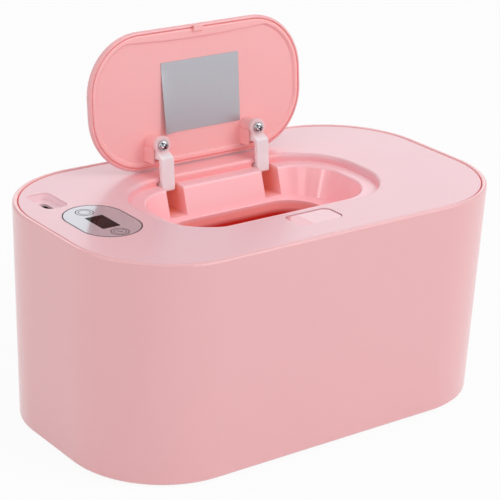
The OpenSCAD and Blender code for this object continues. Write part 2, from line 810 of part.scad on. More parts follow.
module latch_button() {
    y0 = button_y - button_w / 2;
    k = slide_h / press_h;
    color(pink) difference() {
        union() {
            translate([0, button_y, 0])
                slab(button_l, button_w, button_r, top_z - cap_t, cap_t - button_drop);
            translate([0, button_y - 1.2, 0])
                slab(button_l + 2, button_w - 0.4, button_r, top_z - 3.6, 3.6 - skin_t - 0.2);
            side_view(6) polygon([[button_y + 1, top_z - 3], [button_y + 1, top_z - 8.4],
                [button_y - 3.9 + (8.4 - 6.4) * k, top_z - 8.4],
                [button_y - 3.9 - (6.4 - 3) * k, top_z - 3]]);
        }
        translate([-nose_w / 2 - 1, front_y - wall_t - slide_h - 2.4, top_z - 8])
            cube([nose_w + 2, 6, 8 - 1.2]);
    }
}

module latch_slider() {
    color(white) union() {
        difference() {
            translate([-slider_w / 2, slider_y, plate_top - slider_t])
                cube([slider_w, front_y - wall_t - 0.6 - slider_y, slider_t]);
            translate([-4, button_y - 4, plate_top - 3]) cube([8, 6.6, 5]);
        }
        translate([-nose_w / 2, front_y - wall_t - 1.4, plate_top - slider_t])
            cube([nose_w, 1, lid_z - 0.05 - plate_top + slider_t]);
        translate([-nose_w / 2, front_y - wall_t - 1.4, lid_z - 0.05 - nose_t])
            cube([nose_w, wall_t + 1.4 + nose_reach, nose_t]);
        translate([-3, slider_y, plate_top - slider_t]) cube([6, 1.2, 4]);
        translate([0, slider_y + 0.5, spring_z]) rotate([90, 0, 0]) cylinder(h = 1.6, r = 0.8);
    }
}

module latch_spring() {
    n = ceil(spring_l / 0.76);
    color(steel) translate([0, skirt_y + spring_l, spring_z]) rotate([90, 0, 0])
        coil(1.5, 0.4, n, (spring_l - 0.8) / (n - 1));
}

module button_springs() {
    z0 = top_z - 8.2;
    h = 8.2 - 3.6;
    n = floor(h / 0.55);
    color(steel) for (s = [-1, 1]) translate([s * (slider_w / 2 + 4), button_y, z0])
        coil(1.3, 0.3, n, (h - 0.6) / (n - 1));
}

// ---- pieces shown ----

body_shell();
inner_tank();
tank_foam();
base_plate();
rubber_feet();
base_screws();
cover_seal();
top_cover();
control_panel();
display_lens();
control_board();
display_module();
touch_springs();
board_screws();
power_socket();
cover_pan();
pan_screws();
heater_insulation();
heating_film();
heater_plate();
thermal_fuse();
thermistor();
heater_leads();
sensor_leads();
pivot_pins();
pin_clips();
lid_spring_left();
lid_spring_right();
latch_spring();
button_springs();
lid_cover();
lid_liner();
hinge_arm_left();
hinge_arm_right();
arm_screws();
latch_button();
latch_slider();
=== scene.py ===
import math

import bmesh
import bpy
from mathutils import Matrix, Vector


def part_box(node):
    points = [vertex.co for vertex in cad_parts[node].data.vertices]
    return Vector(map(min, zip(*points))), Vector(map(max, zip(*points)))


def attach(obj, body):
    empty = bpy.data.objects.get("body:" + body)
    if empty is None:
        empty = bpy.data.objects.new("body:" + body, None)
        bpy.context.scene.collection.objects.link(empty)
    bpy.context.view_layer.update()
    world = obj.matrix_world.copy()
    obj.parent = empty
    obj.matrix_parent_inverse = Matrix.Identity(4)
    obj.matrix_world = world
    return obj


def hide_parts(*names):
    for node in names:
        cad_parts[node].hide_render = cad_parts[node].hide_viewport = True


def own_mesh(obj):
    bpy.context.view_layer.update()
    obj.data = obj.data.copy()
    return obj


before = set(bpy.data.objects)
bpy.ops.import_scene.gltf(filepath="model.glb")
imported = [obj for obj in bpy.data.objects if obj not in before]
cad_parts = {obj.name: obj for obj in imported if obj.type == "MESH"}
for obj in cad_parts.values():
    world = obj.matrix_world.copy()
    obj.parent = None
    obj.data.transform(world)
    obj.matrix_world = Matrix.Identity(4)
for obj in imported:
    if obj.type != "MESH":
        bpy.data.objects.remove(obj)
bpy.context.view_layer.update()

# ---- Table and studio ----
# A plain white table in a white room that is dark behind the camera. One large soft lamp
# hangs overhead, one stands front right, a weak one left, and a cool one behind gives the
# top its pale sheen. Two small ones at the left and front left draw the bowl's highlights.

MM = 0.001


class Sig:
    """A shader socket that can be used in sums."""

    def __init__(self, tree, out):
        self.tree = tree
        self.out = out

    def _math(self, op, a, b):
        n = self.tree.nodes.new("ShaderNodeMath")
        n.operation = op
        for s, v in zip(n.inputs, (a, b)):
            if isinstance(v, Sig):
                self.tree.links.new(v.out, s)
            else:
                s.default_value = v
        return Sig(self.tree, n.outputs[0])

    def __add__(self, o):
        return self._math("ADD", self, o)

    def __radd__(self, o):
        return self._math("ADD", o, self)

    def __sub__(self, o):
        return self._math("SUBTRACT", self, o)

    def __rsub__(self, o):
        return self._math("SUBTRACT", o, self)

    def __mul__(self, o):
        return self._math("MULTIPLY", self, o)

    def __pow__(self, o):
        return self._math("POWER", self, o)

    def __abs__(self):
        return self._math("ABSOLUTE", self, 0.0)

    def above(self, o):
        return self._math("GREATER_THAN", self, o)

    def least(self, o):
        return self._math("MINIMUM", self, o)

    def most(self, o):
        return self._math("MAXIMUM", self, o)


class Tree:
    """A material's or world's node tree with one way to add a node."""

    def __init__(self, owner):
        owner.use_nodes = True
        self.tree = owner.node_tree
        self.tree.nodes.clear()

    def add(self, kind, settings=None, **values):
        n = self.tree.nodes.new(kind)
        for k, v in (settings or {}).items():
            setattr(n, k, v)
        for k, v in values.items():
            name = k.replace("_", " ")
            sock = n.inputs[int(k[1:])] if k[0] == "i" and k[1:].isdigit() else n.inputs[name]
            if isinstance(v, Sig):
                self.tree.links.new(v.out, sock)
            else:
                sock.default_value = v
        return n

    def sig(self, node, out=0):
        return Sig(self.tree, node.outputs[out])

    def blend(self, share, first, second):
        """Colour between two, by a share from 0 to 1."""
        mix = self.add("ShaderNodeMix", {"data_type": "RGBA"}, i0=share, i6=first, i7=second)
        return self.sig(mix, 2)


def rgb(r, g, b):
    """Colour as it is seen, 0 to 255, as the linear values that shaders use."""

    def lin(c):
        c /= 255
        return c / 12.92 if c <= 0.04045 else ((c + 0.055) / 1.055) ** 2.4

    return (lin(r), lin(g), lin(b), 1.0)


def mesh_object(name, verts, faces, smooth=False):
    me = bpy.data.meshes.new(name)
    me.from_pydata([Vector(v) for v in verts], [], faces)
    me.update()
    ob = bpy.data.objects.new(name, me)
    bpy.context.scene.collection.objects.link(ob)
    if smooth:
        me.shade_smooth()
    return ob


floor_half = 6.0
floor = mesh_object(
    "table",
    [(-floor_half, -floor_half, 0), (floor_half, -floor_half, 0),
     (floor_half, floor_half, 0), (-floor_half, floor_half, 0)],
    [(0, 1, 2, 3)],
)
floor_mat = bpy.data.materials.new("white table")
t = Tree(floor_mat)
path = t.add("ShaderNodeLightPath")
seen = (t.sig(path, "Is Camera Ray") + t.sig(path, "Is Glossy Ray")).least(1.0)
seen_glow = 0.93
glow = t.add("ShaderNodeEmission", Color=(1, 1, 1, 1), Strength=1.0)
matt = t.add("ShaderNodeBsdfDiffuse", Color=(0.86, 0.86, 0.86, 1))
both = t.add("ShaderNodeMixShader", i0=seen * seen_glow, i1=t.sig(matt), i2=t.sig(glow))
t.add("ShaderNodeOutputMaterial", Surface=t.sig(both))
floor.data.materials.append(floor_mat)

world = bpy.data.worlds.new("white room")
bpy.context.scene.world = world
t = Tree(world)
path = t.add("ShaderNodeLightPath")
seen = (
    t.sig(path, "Is Camera Ray") + t.sig(path, "Is Glossy Ray") + t.sig(path, "Is Transmission Ray")
).least(1.0)
room_level = 0.5
camera_side = (-0.59, -0.78, 0.2)
dark_start, dark_gain, dark_share = 0.62, 6.0, 0.85
way = t.sig(t.add("ShaderNodeTexCoord"), "Generated")
dot = t.add("ShaderNodeVectorMath", {"operation": "DOT_PRODUCT"}, i0=way, i1=camera_side)
toward = t.sig(dot, 1)
dark = ((toward - dark_start) * dark_gain).most(0.0).least(1.0) * t.sig(path, "Is Glossy Ray")
room = t.add("ShaderNodeBackground", Color=(1, 1, 1, 1),
             Strength=(room_level + seen * (1.0 - room_level)) * (1.0 - dark * dark_share))
t.add("ShaderNodeOutputWorld", Surface=t.sig(room))


def lamp(name, place, target, width, height, power, tone=(1, 1, 1)):
    """Soft rectangular lamp that faces a target."""
    data = bpy.data.lights.new(name, "AREA")
    data.color = tone
    data.shape = "RECTANGLE"
    data.size = width
    data.size_y = height
    data.energy = power
    ob = bpy.data.objects.new(name, data)
    ob.location = place
    ob.rotation_euler = (Vector(target) - Vector(place)).to_track_quat("-Z", "Y").to_euler()
    bpy.context.scene.collection.objects.link(ob)


aim = (0, 0, 0.07)
lamp("lamp above", (0.1, 0.1, 1.5), aim, 1.4, 1.2, 2.2)
lamp("lamp front right", (0.75, -1.1, 1.0), aim, 0.9, 0.9, 8.8)
lamp("lamp left", (-1.3, -0.35, 0.95), aim, 0.8, 0.8, 1.7)
lamp("strip front", (-0.75, -1.3, 0.5), aim, 0.55, 0.6, 1.7)
lamp("strip left", (-1.45, -0.05, 0.45), aim, 0.22, 0.6, 1.7)
lamp("lamp behind", (1.02, 1.6, 0.85), aim, 1.5, 0.9, 3.5, (0.89, 0.94, 1.0))

# Camera at the photograph's place: eye, aim, roll and lens.
eye = Vector((-0.50678, -0.66617, 0.40530))
look = Vector((0.00152, 0.00446, 0.07322))
roll = math.radians(2.296)
focal_px = 1909.7
photo_px = 500
sensor_mm = 36
ahead = (look - eye).normalized()
right = ahead.cross(Vector((0, 0, 1))).normalized()
up = right.cross(ahead)
rolled_right = right * math.cos(roll) + up * math.sin(roll)
rolled_up = up * math.cos(roll) - right * math.sin(roll)
cam_data = bpy.data.cameras.new("camera")
cam = bpy.data.objects.new("camera", cam_data)
turn = Matrix((rolled_right, rolled_up, -ahead)).transposed()
cam.matrix_world = Matrix.Translation(eye) @ turn.to_4x4()
cam_data.sensor_width = sensor_mm
cam_data.lens = sensor_mm * focal_px / photo_px
cam_data.clip_start = 0.05
cam_data.clip_end = 40
bpy.context.scene.collection.objects.link(cam)
bpy.context.scene.camera = cam
bpy.context.scene.view_settings.view_transform = "Standard"

# ---- Tub shell ----
# The outer shell is one pink ABS moulding, polished in the tool to a soft gloss. Its lip is
# rounded and a ledge inside carries the tank. The lip's inner face at the seam to the cover
# is painted red shade with a faint painted glow.

flow_scale, wipe_scale, grain_scale = 18.0, 55.0, 1900.0
flow_share, wipe_rough, grain_depth = 0.012, 0.07, 0.00003


def moulded(name, colour, rough=0.32, grain=1.0, coat=0.0, subsurface=0.0, gloss=0.5, tints=(),
            glow=None):
    """Moulded plastic: slight flow variation, fine tool grain and faint wiping marks.

    tints are masks with painted colour that stands for shade and for light through the wall, and glow
    is the share of the colour given off as a painted glow, plain or by a mask.
    """
    mat = bpy.data.materials.new(name)
    t = Tree(mat)
    co = t.sig(t.add("ShaderNodeTexCoord"), "Object")
    flow_n = t.sig(t.add("ShaderNodeTexNoise", Vector=co, Scale=flow_scale, Detail=2.0))
    wipe_n = t.sig(t.add("ShaderNodeTexNoise", Vector=co, Scale=wipe_scale, Detail=4.0, Distortion=0.6))
    fine_n = t.sig(t.add("ShaderNodeTexNoise", Vector=co, Scale=grain_scale, Detail=2.0))
    dark = tuple(c * (1 - flow_share * 2) for c in colour[:3]) + (1,)
    light = tuple(min(1, c * (1 + flow_share)) for c in colour[:3]) + (1,)
    base = t.blend(flow_n, dark, light)
    for mask, deep in tints:
        base = t.blend(mask(t, co), base, deep)
    bump = t.add("ShaderNodeBump", Strength=0.35 * grain, Distance=grain_depth, Height=fine_n)
    bsdf = t.add(
        "ShaderNodeBsdfPrincipled",
        Base_Color=base,
        Roughness=rough + (wipe_n - 0.5) * wipe_rough,
        Normal=t.sig(bump),
        Coat_Weight=coat(t, co) if callable(coat) else coat,
        Coat_Roughness=0.07,
        Specular_IOR_Level=gloss,
        Subsurface_Weight=subsurface,
        Subsurface_Radius=(0.004, 0.0012, 0.001),
        Subsurface_Scale=1.0,
    )
    if glow:
        share = glow(t, co) if callable(glow) else glow
        lit = t.blend(share, (0, 0, 0, 1), base)
        t.tree.links.new(lit.out, bsdf.inputs["Emission Color"])
        bsdf.inputs["Emission Strength"].default_value = 1.0
    t.add("ShaderNodeOutputMaterial", Surface=t.sig(bsdf))
    return mat


def dress(mat, *names):
    """Gives CAD nodes a finish."""
    for n in names:
        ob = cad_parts[n]
        ob.data.materials.clear()
        ob.data.materials.append(mat)


def ramp(value, start, end):
    """Rises from 0 to 1 between two places; falls where end is below start."""
    return ((value - start) * (1.0 / (end - start))).most(0.0).least(1.0)


def spread(t, co):
    """X, Y and Z of a place as three sockets."""
    xyz = t.add("ShaderNodeSeparateXYZ", Vector=co)
    return t.sig(xyz, 0), t.sig(xyz, 1), t.sig(xyz, 2)


def from_spine(x, y, half_x, half_y):
    """Distance from the level box that a rounded outline runs round, zero inside it."""
    out_x = (abs(x) - half_x).most(0.0)
    out_y = (abs(y) - half_y).most(0.0)
    return (out_x * out_x + out_y * out_y) ** 0.5


cover_top = 0.1062
body_spine = (63.0 * MM, 17.7 * MM)
# Painted red shade and a painted glow for the seams at the cover's edge, in place of light seen in the
# gaps.
seam_shade_red = rgb(216, 84, 76)
seam_painted_glow = 0.25


def depth(z, start, end):
    """Rises from 0 to 1 between two depths under the cover's top, in millimetres."""
    return ramp(z, cover_top - start * MM, cover_top - end * MM)


def shell_seam(t, co):
    """Inner face of the lip, where it meets the cover and is painted red shade with a glow."""
    x, y, z = spread(t, co)
    inner = ramp(from_spine(x, y, *body_spine), 47.0 * MM, 46.7 * MM)
    return inner * depth(z, -0.1, 0.5) * depth(z, 4, 2)


# The lip's seam is painted red shade with a painted glow.
shell_pink = moulded("shell pink", rgb(241, 181, 184), rough=0.34, coat=0.55,
                     tints=((shell_seam, seam_shade_red),),
                     glow=lambda t, co: shell_seam(t, co) * seam_painted_glow)
dress(shell_pink, "body_shell")

# ---- Tank, foam wrap, base and feet ----
# Deep pink polypropylene tank with a foam wrap, a matt pink base plate and pale rubber feet.
# The tank's deep red and faint glow are painted light and shade seen in the cover's mouth.

# Deep red painted for the mouth's light and shade, with a faint painted glow.
tank_red = moulded("tank red", rgb(206, 40, 30), rough=0.42, glow=0.06)
tank_white = moulded("acetal white", rgb(236, 236, 232), rough=0.42)
foam_white = moulded("foam", rgb(226, 226, 220), rough=0.9, grain=3.0)
base_pink = moulded("base pink", rgb(228, 172, 177), rough=0.5)
foot_grey = moulded("foot rubber", rgb(196, 190, 188), rough=0.7, grain=2.0)
seal_grey = moulded("seal silicone", rgb(214, 212, 210), rough=0.55)
dress(tank_red, "inner_tank")
dress(foam_white, "tank_foam", "heater_insulation")
dress(base_pink, "base_plate")
dress(foot_grey, "rubber_feet")
dress(seal_grey, "cover_seal")

# ---- Cover ----
# The pull-off cover is the same pink plastic with a higher gloss. Light through its thin
# walls is painted into its colour: a painted glow and lighter tints brighten the bowl, the
# strip behind the lid's recess and the port pocket, painted warm shade and glow fill the
# slots behind the hinge arms and the mouth, the rear of the ledge is painted darker, and the
# gap round the cover's edge is painted red shade with a glow.

arm_x = 0.0277
lid_spine = (32.6 * MM, 4.6 * MM)


def cover_seam(t, co):
    """Outer edge of the cover, down to the top of its skirt, where the gap is painted red shade with a
    glow.
    """
    x, y, z = spread(t, co)
    edge = ramp(from_spine(x, y, *body_spine), 45.95 * MM, 46.2 * MM)
    return edge * depth(z, 0.2, 0.6) * depth(z, 4, 2)


def hinge_shelf(t, co):
    """Strip of the top behind the lid's recess, painted warmer with a glow to lift it out of the lid's
    shade.
    """
    x, y, _ = spread(t, co)
    return ramp(abs(x), 46 * MM, 36 * MM) * ramp(y, 30 * MM, 34 * MM) * ramp(y, 46 * MM, 42 * MM) * 0.55


def in_pocket(t, co):
    """Walls of the port pocket at the left end, painted lighter with a glow in place of the light that
    reaches them.
    """
    x, _, z = spread(t, co)
    return ramp(x, -82 * MM, -84 * MM) * depth(z, 0, 1.0)


def near_bowl(x, y):
    """Within the lid's outline, away from the cover's skirt."""
    return ramp(from_spine(x, y, *lid_spine), 40 * MM, 36 * MM)


def seat_ledge(t, co):
    """Rear half of the ledge that the lid shuts on, painted darker as shade."""
    x, y, z = spread(t, co)
    return depth(z, 1.6, 2.3) * depth(z, 4.0, 3.2) * ramp(y, -5 * MM, 12 * MM) * near_bowl(x, y) * 0.6


# Inside the bowl, painted lighter in place of light through its walls.
def in_bowl(t, co):
    x, y, z = spread(t, co)
    return depth(z, 3.5, 5.0) * near_bowl(x, y)


def in_slot(t, co):
    """Slots behind the hinge arms, painted warm orange as shade, with less of the bowl's painted glow."""
    x, y, z = spread(t, co)
    across = ramp(abs(abs(x) - arm_x), 5.3 * MM, 4.7 * MM)
    return across * ramp(y, 22 * MM, 31 * MM) * near_bowl(x, y) * depth(z, 2.0, 5.0)


# Mouth of the cover, painted red shade with a painted glow.
def in_mouth(t, co):
    x, y, z = spread(t, co)
    return depth(z, 17.6, 19.6) * near_bowl(x, y)


def cover_painted_glow(t, co):
    """Share of the colour given off as a painted glow at each place, in place of light through the
    cover's walls.
    """
    x, y, z = spread(t, co)
    bowl = depth(z, 0.3, 4.0) * near_bowl(x, y) * (0.13 - in_slot(t, co) * 0.03)
    warm = bowl.most(in_pocket(t, co) * 0.07).most(hinge_shelf(t, co) * 0.12)
    return warm + in_mouth(t, co) * 0.1 + cover_seam(t, co) * seam_painted_glow


def bowl_gloss(t, co):
    """Coat that is thin on the top and strong in the bowl."""
    _, _, z = spread(t, co)
    return 0.1 + depth(z, 4.0, 5.0) * 0.7


# The cover's tints and glow below are painted shade and painted light.
cover_pink = moulded("cover pink", rgb(238, 191, 198), rough=0.32, coat=bowl_gloss, glow=cover_painted_glow,
                     tints=((seat_ledge, rgb(236, 168, 173)), (in_bowl, rgb(250, 184, 190)),
                            (hinge_shelf, rgb(250, 160, 160)), (in_pocket, rgb(244, 214, 220)),
                            (cover_seam, seam_shade_red), (in_slot, rgb(240, 132, 108)),
                            (in_mouth, rgb(248, 146, 142))))
dress(cover_pink, "top_cover")

# ---- Pan and heater under the cover ----
# A pink pan closes the cover from below. Its collar is painted deep red shade at the foot,
# and the pan carries a painted glow, strongest near the bowl; under it lie felt, an amber
# film with the heating track, and a plain aluminium sheet that warms the top of the stack.


# Foot of the pan's collar, painted deep red as shade.
def collar_foot(t, co):
    x, y, z = spread(t, co)
    return depth(z, 21.4, 24.0) * near_bowl(x, y)


# Share of the pan's colour given off as a painted glow, strongest near the bowl.
def collar_painted_glow(t, co):
    x, y, _ = spread(t, co)
    return near_bowl(x, y) * 0.12 + 0.01


pan_pink = moulded("pan pink", rgb(250, 158, 156), rough=0.4,
                   tints=((collar_foot, rgb(204, 36, 26)),), glow=collar_painted_glow)
dress(pan_pink, "cover_pan")

wear_scale, wear_depth, wear_rough = 700.0, 0.00002, 0.1


def metal(name, colour, rough, streak=(1.0, 1.0, 1.0)):
    """Plated or brushed metal; streak stretches the wear along an axis."""
    mat = bpy.data.materials.new(name)
    t = Tree(mat)
    co = t.sig(t.add("ShaderNodeTexCoord"), "Object")
    drawn = t.sig(t.add("ShaderNodeMapping", Vector=co, Scale=streak))
    wear = t.sig(t.add("ShaderNodeTexNoise", Vector=drawn, Scale=wear_scale, Detail=3.0))
    bump = t.add("ShaderNodeBump", Strength=0.2, Distance=wear_depth, Height=wear)
    bsdf = t.add("ShaderNodeBsdfPrincipled", Base_Color=colour, Metallic=1.0,
                 Roughness=rough + wear * wear_rough, Normal=t.sig(bump))
    t.add("ShaderNodeOutputMaterial", Surface=t.sig(bsdf))
    return mat


steel = metal("plated steel", rgb(196, 197, 200), 0.16)
aluminium = metal("rolled aluminium", rgb(214, 215, 217), 0.3, streak=(0.04, 1.0, 1.0))
dress(aluminium, "heater_plate")

film_mat = bpy.data.materials.new("amber film")
t = Tree(film_mat)
co = t.sig(t.add("ShaderNodeTexCoord"), "Object")
track_pitch = 0.006
wave = t.sig(t.add("ShaderNodeMath", {"operation": "SINE"},
                   i0=spread(t, co)[1] * (math.tau / track_pitch)))
track = wave.above(0.2)
amber = t.blend(track, rgb(206, 140, 60), rgb(150, 96, 52))
bsdf = t.add("ShaderNodeBsdfPrincipled", Base_Color=amber, Roughness=0.25 + track * 0.1)
t.add("ShaderNodeOutputMaterial", Surface=t.sig(bsdf))
dress(film_mat, "heating_film")

# ---- Board, display body, sensors and leads ----
# Green board with the display body and two touch springs on it, a thermal fuse and a
# sensor on the pan, and their leads.

board_mat = bpy.data.materials.new("board green")
t = Tree(board_mat)
co = t.sig(t.add("ShaderNodeTexCoord"), "Object")
cells = t.add("ShaderNodeTexVoronoi", {"distance": "MANHATTAN"}, Vector=co, Scale=420.0)
tracks = t.sig(cells).above(0.45)
green = t.blend(tracks, rgb(30, 98, 60), rgb(44, 122, 76))
bsdf = t.add("ShaderNodeBsdfPrincipled", Base_Color=green, Roughness=0.3 + tracks * 0.1)
t.add("ShaderNodeOutputMaterial", Surface=t.sig(bsdf))
dress(board_mat, "control_board")
dress(tank_white, "display_module", "thermal_fuse")
black_plastic = moulded("black plastic", rgb(42, 40, 42), rough=0.4)
red_lead = moulded("red lead", rgb(190, 40, 38), rough=0.4)
dress(black_plastic, "thermistor", "sensor_leads")
dress(red_lead, "heater_leads")

# ---- Power socket ----
# Upright socket shell of plated steel, seen at the bottom of the port pocket; its steel is
# darkened nearly to black as painted shade in the hole.

socket_steel = metal("shaded steel", rgb(34, 32, 35), 0.5)
dress(socket_steel, "power_socket")

# ---- Panel ----
# Oval silver touch panel, flush with the cover and bonded in, printed with two fine rings.
# The smoked window covers a two-figure display that is off.

panel_mat = bpy.data.materials.new("panel silver")
t = Tree(panel_mat)
co = t.sig(t.add("ShaderNodeTexCoord"), "Object")
fleck = t.sig(t.add("ShaderNodeTexNoise", Vector=co, Scale=4200.0, Detail=1.0))
silver = t.blend(fleck, rgb(156, 153, 161), rgb(171, 168, 176))
bsdf = t.add("ShaderNodeBsdfPrincipled", Base_Color=silver, Metallic=0.2,
             Roughness=0.17 + fleck * 0.05, Coat_Weight=0.8, Coat_Roughness=0.08)
t.add("ShaderNodeOutputMaterial", Surface=t.sig(bsdf))
dress(panel_mat, "control_panel")
lens_dark = moulded("smoked window", rgb(24, 6, 6), rough=0.02, grain=0.0, gloss=0.04)
dress(lens_dark, "display_lens")
ink = moulded("grey print", rgb(36, 33, 40), rough=0.6, grain=0.5, gloss=0.1)
figure_off = moulded("figures off", rgb(44, 20, 20), rough=0.2, grain=0.0, gloss=0.1)

panel_low, panel_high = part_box("control_panel")
lens_low, lens_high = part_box("display_lens")
panel_top = panel_high.z
panel_mid = (panel_low + panel_high) / 2


def tube_faces(i, j):
    """Four faces between two square sections of a flat ring."""
    return [(i + 1, i + 3, j + 3, j + 1), (i, j, j + 2, i + 2), (i, i + 1, j + 1, j),
            (i + 2, j + 2, j + 3, i + 3)]


def band(name, centre, r_in, r_out, z, thick, steps=48):
    """Flat printed ring with a real, very small thickness."""
    verts, faces = [], []
    for k in range(steps):
        a = math.radians(360.0 * k / steps)
        for r in (r_in, r_out):
            for h in (z, z + thick):
                verts.append((centre[0] + r * math.cos(a), centre[1] + r * math.sin(a), h))
        faces += tube_faces(4 * k, 4 * ((k + 1) % steps))
    return mesh_object(name, verts, faces)


def oval(name, mid, low, high, width, z, thick, steps=40):
    """Printed line that follows the panel's round-ended outline just inside its edge."""
    inset = 0.05 * MM
    r_out = (high.x - low.x) / 2 - inset
    reach = (high.y - low.y) / 2 - r_out
    rim = [(math.cos(a), math.sin(a), (1 if a < math.pi else -1) * reach)
           for a in (math.tau * (k + 0.5) / steps for k in range(steps))]
    verts = [(mid.x + c * r, mid.y + s * r + shift, h)
             for c, s, shift in rim for r in (r_out - width, r_out) for h in (z, z + thick)]
    faces = []
    for k in range(steps):
        faces += tube_faces(4 * k, 4 * ((k + 1) % steps))
    return mesh_object(name, verts, faces)


box_faces = [(3, 2, 1, 0), (4, 5, 6, 7), (0, 1, 5, 4), (1, 2, 6, 5), (2, 3, 7, 6), (3, 0, 4, 7)]


def bar(name, x, y, z, length, width, thick, angle=0.0):
    """Small flat bar lying on the panel, turned about Z."""
    c, s = math.cos(math.radians(angle)), math.sin(math.radians(angle))
    verts = []
    for h in (z, z + thick):
        for u, v in ((-length, -width), (length, -width), (length, width), (-length, width)):
            u, v = u / 2, v / 2
            verts.append((x + u * c - v * s, y + u * s + v * c, h))
    return mesh_object(name, verts, box_faces)


def join(name, obs, mat):
    """One plain mesh from several, with one finish."""
    bm = bmesh.new()
    for o in obs:
        bm.from_mesh(o.data)
        bpy.data.objects.remove(o)
    me = bpy.data.meshes.new(name)
    bm.to_mesh(me)
    bm.free()
    ob = bpy.data.objects.new(name, me)
    bpy.context.scene.collection.objects.link(ob)
    me.materials.append(mat)
    return ob


ring_r, line = 4.2 * MM, 0.4 * MM
ink_t = 0.02 * MM
rear_mark, front_mark = (2.55 * MM, 2.85 * MM), (2.6 * MM, 2.9 * MM)
dash_l, dash_w, dash_angle = 2.9 * MM, 0.5 * MM, -52
outline_w = 0.36 * MM
rear_key = (panel_mid.x - 1.3 * MM, panel_mid.y + 12.8 * MM)
front_key = (panel_mid.x - 0.3 * MM, panel_mid.y - 15.1 * MM)
prints = [band("p", c, ring_r - line, ring_r, panel_top, ink_t) for c in (rear_key, front_key)]
for key, mark in ((rear_key, rear_mark), (front_key, front_mark)):
    prints.append(band("p", key, *mark, panel_top, ink_t))
prints.append(bar("p", *front_key, panel_top, dash_l, dash_w, ink_t, dash_angle))
prints.append(oval("p", panel_mid, panel_low, panel_high, outline_w, panel_top, ink_t))
panel_print = join("panel_print", prints, ink)
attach(panel_print, "cover")

# Two seven-bar figures lie across the window, read from the latch side.
fig_w, fig_h = 2.7 * MM, 5.0 * MM
fig_line = 0.42 * MM
fig_apart = 2.0 * MM
across_l, upright_l = fig_w - 0.7 * MM, fig_h / 2 - 0.6 * MM
lens_mid = (lens_low + lens_high) / 2
figs = []
for side in (-1, 1):
    cx, cy = lens_mid.x + side * fig_apart, lens_mid.y
    for row in (-1, 0, 1):
        figs.append(bar("f", cx, cy + row * fig_h / 2, lens_high.z, across_l, fig_line, ink_t))
    for col in (-1, 1):
        for row in (-1, 1):
            figs.append(bar("f", cx + col * fig_w / 2, cy + row * fig_h / 4, lens_high.z,
                            fig_line, upright_l, ink_t))
display_figures = join("display_figures", figs, figure_off)
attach(display_figures, "cover")

# ---- Springs ----
# Round wire wound as true coils: torsion springs on the lid pins, touch springs on the
# board, the latch's return spring and two under the button.


def socket_id(tree, name):
    """Identifier of a tree's named input."""
    return next(i.identifier for i in tree.interface.items_tree
                if i.name == name and i.in_out == "INPUT")


def new_tree(name, inputs):
    """Geometry tree with named inputs and one geometry output."""
    tree = bpy.data.node_groups.new(name, "GeometryNodeTree")
    tree.interface.new_socket("Geometry", in_out="INPUT", socket_type="NodeSocketGeometry")
    for label, kind in inputs:
        tree.interface.new_socket(label, in_out="INPUT", socket_type=kind)
    tree.interface.new_socket("Geometry", in_out="OUTPUT", socket_type="NodeSocketGeometry")
    return tree


def bake(name, tree, values, base=None, move=None):
    """Runs a geometry tree once and keeps the plain mesh, put in place."""
    src = base or mesh_object(name + "_seed", [(0, 0, 0)], [])
    mod = src.modifiers.new("make", "NODES")
    mod.node_group = tree
    for label, value in values.items():
        mod[socket_id(tree, label)] = value
    bpy.context.view_layer.update()
    got = src.evaluated_get(bpy.context.evaluated_depsgraph_get())
    me = bpy.data.meshes.new_from_object(got)
    src.modifiers.remove(mod)
    bpy.data.objects.remove(src)
    if move is not None:
        me.transform(move)
    me.name = name
    ob = bpy.data.objects.new(name, me)
    bpy.context.scene.collection.objects.link(ob)
    return ob


coil_tree = new_tree("coil spring", [("Turns", "NodeSocketFloat"), ("Radius", "NodeSocketFloat"),
                                     ("Height", "NodeSocketFloat"), ("Wire", "NodeSocketFloat"),
                                     ("Finish", "NodeSocketMaterial")])
g = coil_tree.nodes
gin, gout = g.new("NodeGroupInput"), g.new("NodeGroupOutput")
spiral = g.new("GeometryNodeCurveSpiral")
spiral.inputs["Resolution"].default_value = 28
ring = g.new("GeometryNodeCurvePrimitiveCircle")
ring.inputs["Resolution"].default_value = 12
tube = g.new("GeometryNodeCurveToMesh")
tube.inputs["Fill Caps"].default_value = True
real = g.new("GeometryNodeRealizeInstances")
paint = g.new("GeometryNodeSetMaterial")
for a, b in (
    (gin.outputs["Turns"], spiral.inputs["Rotations"]),
    (gin.outputs["Radius"], spiral.inputs["Start Radius"]),
    (gin.outputs["Radius"], spiral.inputs["End Radius"]),
    (gin.outputs["Height"], spiral.inputs["Height"]),
    (gin.outputs["Wire"], ring.inputs["Radius"]),
    (spiral.outputs["Curve"], tube.inputs["Curve"]),
    (ring.outputs["Curve"], tube.inputs["Profile Curve"]),
    (tube.outputs["Mesh"], real.inputs["Geometry"]),
    (real.outputs["Geometry"], paint.inputs["Geometry"]),
    (gin.outputs["Finish"], paint.inputs["Material"]),
    (paint.outputs["Geometry"], gout.inputs["Geometry"]),
):
    coil_tree.links.new(a, b)


def coil(name, start, along, radius, height, wire, turns):
    """A wound spring from a start point along an axis, wire centre to wire centre."""
    turn = Vector((0, 0, 1)).rotation_difference(Vector(along)).to_matrix().to_4x4()
    place = Matrix.Translation(Vector(start) + Vector(along) * wire) @ turn
    ob = bake(name, coil_tree, {"Turns": turns, "Radius": radius, "Height": height - 2 * wire,
                                "Wire": wire, "Finish": steel}, move=place)
    ob.data.shade_smooth()
    return ob


def merged(name, obs):
    """Joins meshes that share a finish."""
    mat = obs[0].data.materials[0]
    return join(name, obs, mat)


